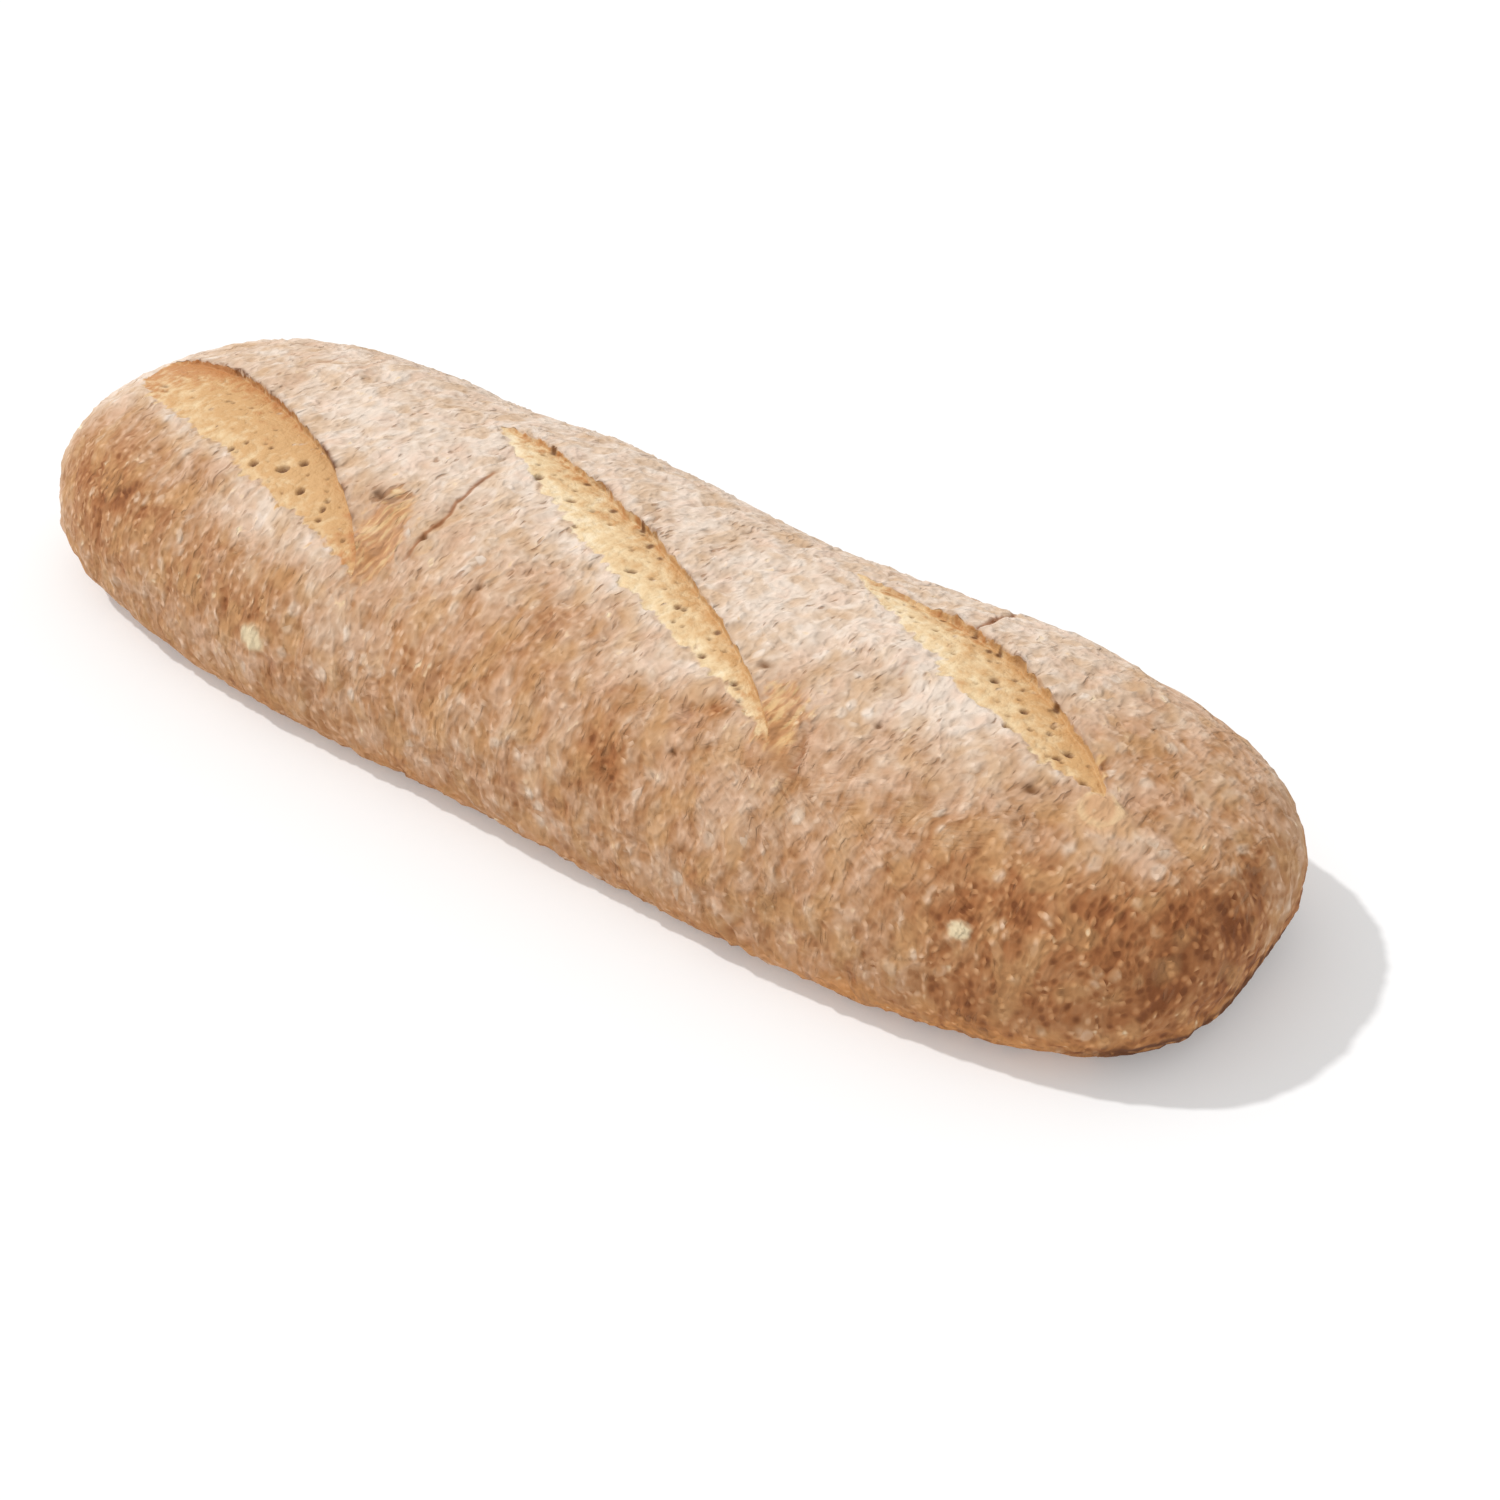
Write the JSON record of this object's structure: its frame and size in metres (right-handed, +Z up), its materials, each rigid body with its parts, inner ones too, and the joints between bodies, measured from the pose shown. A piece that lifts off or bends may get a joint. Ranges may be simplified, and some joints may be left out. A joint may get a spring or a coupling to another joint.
{
  "type": "rustic bread loaf",
  "caption": "Long low tray-baked loaf with a floured crust, slanted slashes opened into leaf-shaped scars, and a flat underside to rest on.",
  "frame": {"origin": "middle of the loaf's box, on the plane of its flat underside", "axes": "+X along the loaf, +Y across it towards the slashes' raised lips, +Z up"},
  "size_m": [0.3498, 0.1192, 0.0557],
  "materials": {
    "crust": "matt baked crust with flour dust, pale yellow where the slashes opened"
  },
  "bodies": {
    "root": {"loaf": "crust"}
  },
  "joints": []
}
